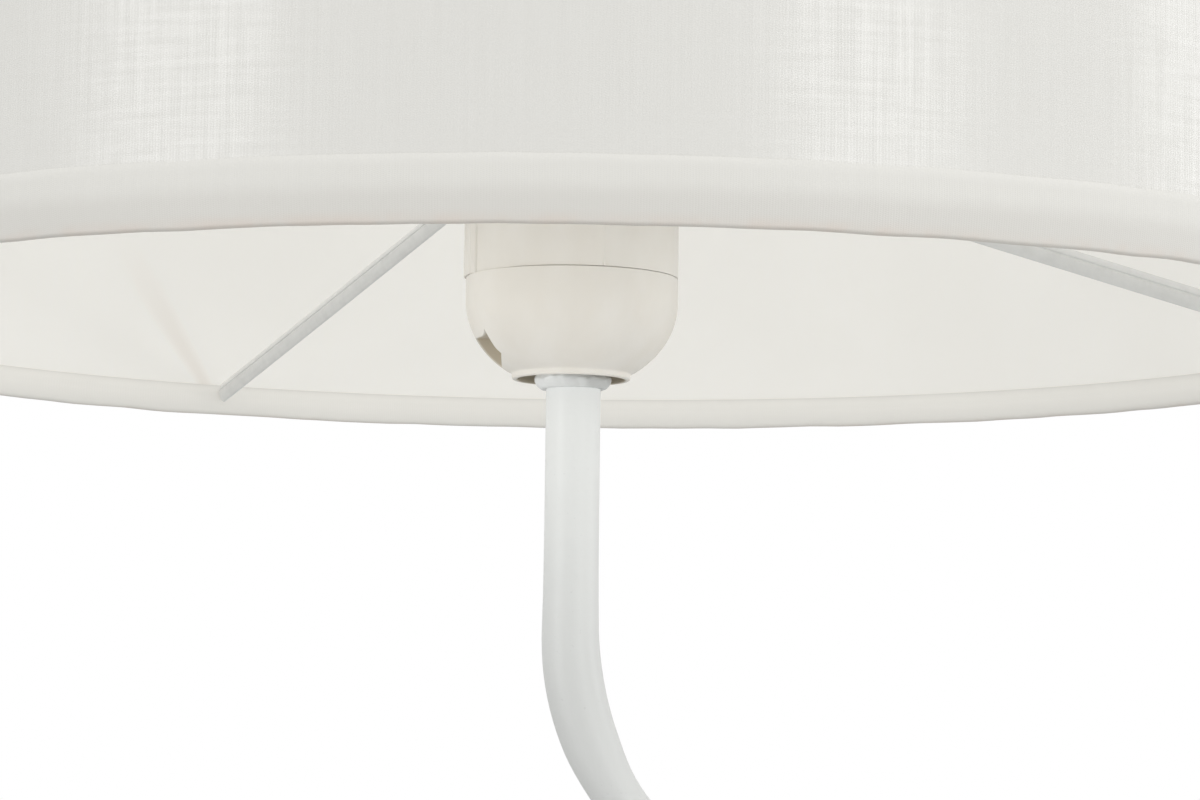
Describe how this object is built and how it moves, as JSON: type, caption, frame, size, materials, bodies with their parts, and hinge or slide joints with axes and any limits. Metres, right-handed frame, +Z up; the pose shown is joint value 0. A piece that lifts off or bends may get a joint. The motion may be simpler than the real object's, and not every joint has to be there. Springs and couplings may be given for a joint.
{
  "type": "tripod floor lamp",
  "caption": "Floor lamp: a slim bent tube runs down into one leg of a tripod and carries an E27 lampholder and a white drum shade; the other legs are one arched tube in a cross clamp.",
  "frame": {"origin": "on the floor, midway between the furthest points left and right (the first foot and the shade) and front and back (the second and third feet)", "axes": "+Z up along the lamp; +X from the lamp's axis towards the first leg, which is the foot of the stem; the arched pair of legs stands at -X, one each side of the XZ plane"},
  "size_m": [0.426, 0.4666, 1.39],
  "materials": {
    "white_powder_coat": "satin white powder coat on steel, slightly cool",
    "holder_plastic": "moulded thermoplastic, warm white, satin gloss",
    "shade_cloth": "fine plain weave with a satin sheen, off-white",
    "shade_lining": "smooth translucent styrene sheet, warm white",
    "hem_tape": "the same cloth, rolled over the wire and glued, matt",
    "white_painted_wire": "thin cool white paint on steel",
    "zinc_steel": "bright zinc plate",
    "brass": "bright pressed strip",
    "terminal_block": "unglazed off-white moulding",
    "white_rubber": "matt moulded, off-white",
    "black_glass": "black vitrite, glossy",
    "bulb_shell": "rolled thread, bright nickel",
    "bulb_plastic": "white moulded heat sink cover",
    "opal_globe": "opal diffuser, soft gloss"
  },
  "bodies": {
    "stand": {"stem_tube": "white_powder_coat", "stem_collar": "white_powder_coat", "stem_locknut": "zinc_steel", "leg_1_middle_tube": "white_powder_coat", "leg_1_lower_tube": "white_powder_coat", "leg_1_upper_stud": "zinc_steel", "leg_1_lower_stud": "zinc_steel", "foot_1": "white_rubber", "cable_grommet": "white_rubber", "clamp_stem_jaw": "white_powder_coat", "clamp_bridge": "white_powder_coat", "clamp_crown_jaw": "white_powder_coat", "clamp_screw_1": "zinc_steel", "clamp_nut_1": "zinc_steel", "clamp_screw_2": "zinc_steel", "clamp_nut_2": "zinc_steel", "lampholder_cap": "holder_plastic", "lampholder_body": "holder_plastic", "terminal_block": "terminal_block", "terminal_screw_1": "brass", "terminal_screw_2": "brass", "centre_contact": "brass", "side_contact": "brass", "shade_ring_lower": "holder_plastic"},
    "arch": {"crown_tube": "white_powder_coat", "leg_2_middle_tube": "white_powder_coat", "leg_2_lower_tube": "white_powder_coat", "leg_2_upper_stud": "zinc_steel", "leg_2_lower_stud": "zinc_steel", "foot_2": "white_rubber", "leg_3_middle_tube": "white_powder_coat", "leg_3_lower_tube": "white_powder_coat", "leg_3_upper_stud": "zinc_steel", "leg_3_lower_stud": "zinc_steel", "foot_3": "white_rubber"},
    "shade": {"shade_lining": "shade_lining", "shade_cloth": "shade_cloth", "hem_tape_bottom": "hem_tape", "hem_tape_top": "hem_tape", "wire_ring_bottom": "white_painted_wire", "wire_ring_top": "white_painted_wire", "spider_fitter_ring": "white_painted_wire", "spider_arm_1": "white_painted_wire", "spider_arm_2": "white_painted_wire", "spider_arm_3": "white_painted_wire"},
    "shade_ring": {"shade_ring_upper": "holder_plastic"},
    "bulb_tip": {"bulb_tip_contact": "zinc_steel"},
    "bulb": {"bulb_insulator": "black_glass", "bulb_screw_shell": "bulb_shell", "bulb_housing": "bulb_plastic", "bulb_globe": "opal_globe"}
  },
  "joints": [
    {"name": "arch_fold", "type": "hinge", "parent": "stand", "child": "arch", "pos_m": [-0.04016, 0, 1.07001], "axis": [0, -1, 0], "range_deg": [0, 18.5]},
    {"name": "shade_turn", "type": "hinge", "parent": "stand", "child": "shade", "pos_m": [-0.05513, 0, 1.2174], "axis": [0, 0, 1], "continuous": true},
    {"name": "shade_ring_turn", "type": "hinge", "parent": "stand", "child": "shade_ring", "pos_m": [-0.05513, 0, 1.22], "axis": [0, 0, 1], "continuous": true},
    {"name": "bulb_lift", "type": "slide", "parent": "stand", "child": "bulb_tip", "axis": [0, 0, 1], "range_m": [0, 0.0254]},
    {"name": "bulb_turn", "type": "hinge", "parent": "bulb_tip", "child": "bulb", "pos_m": [-0.05513, 0, 1.22], "axis": [0, 0, 1], "range_deg": [0, 2520]}
  ],
  "couplings": [
    {"joint": "bulb_lift", "follows": "bulb_turn", "m_per_rad": 0.000576}
  ]
}
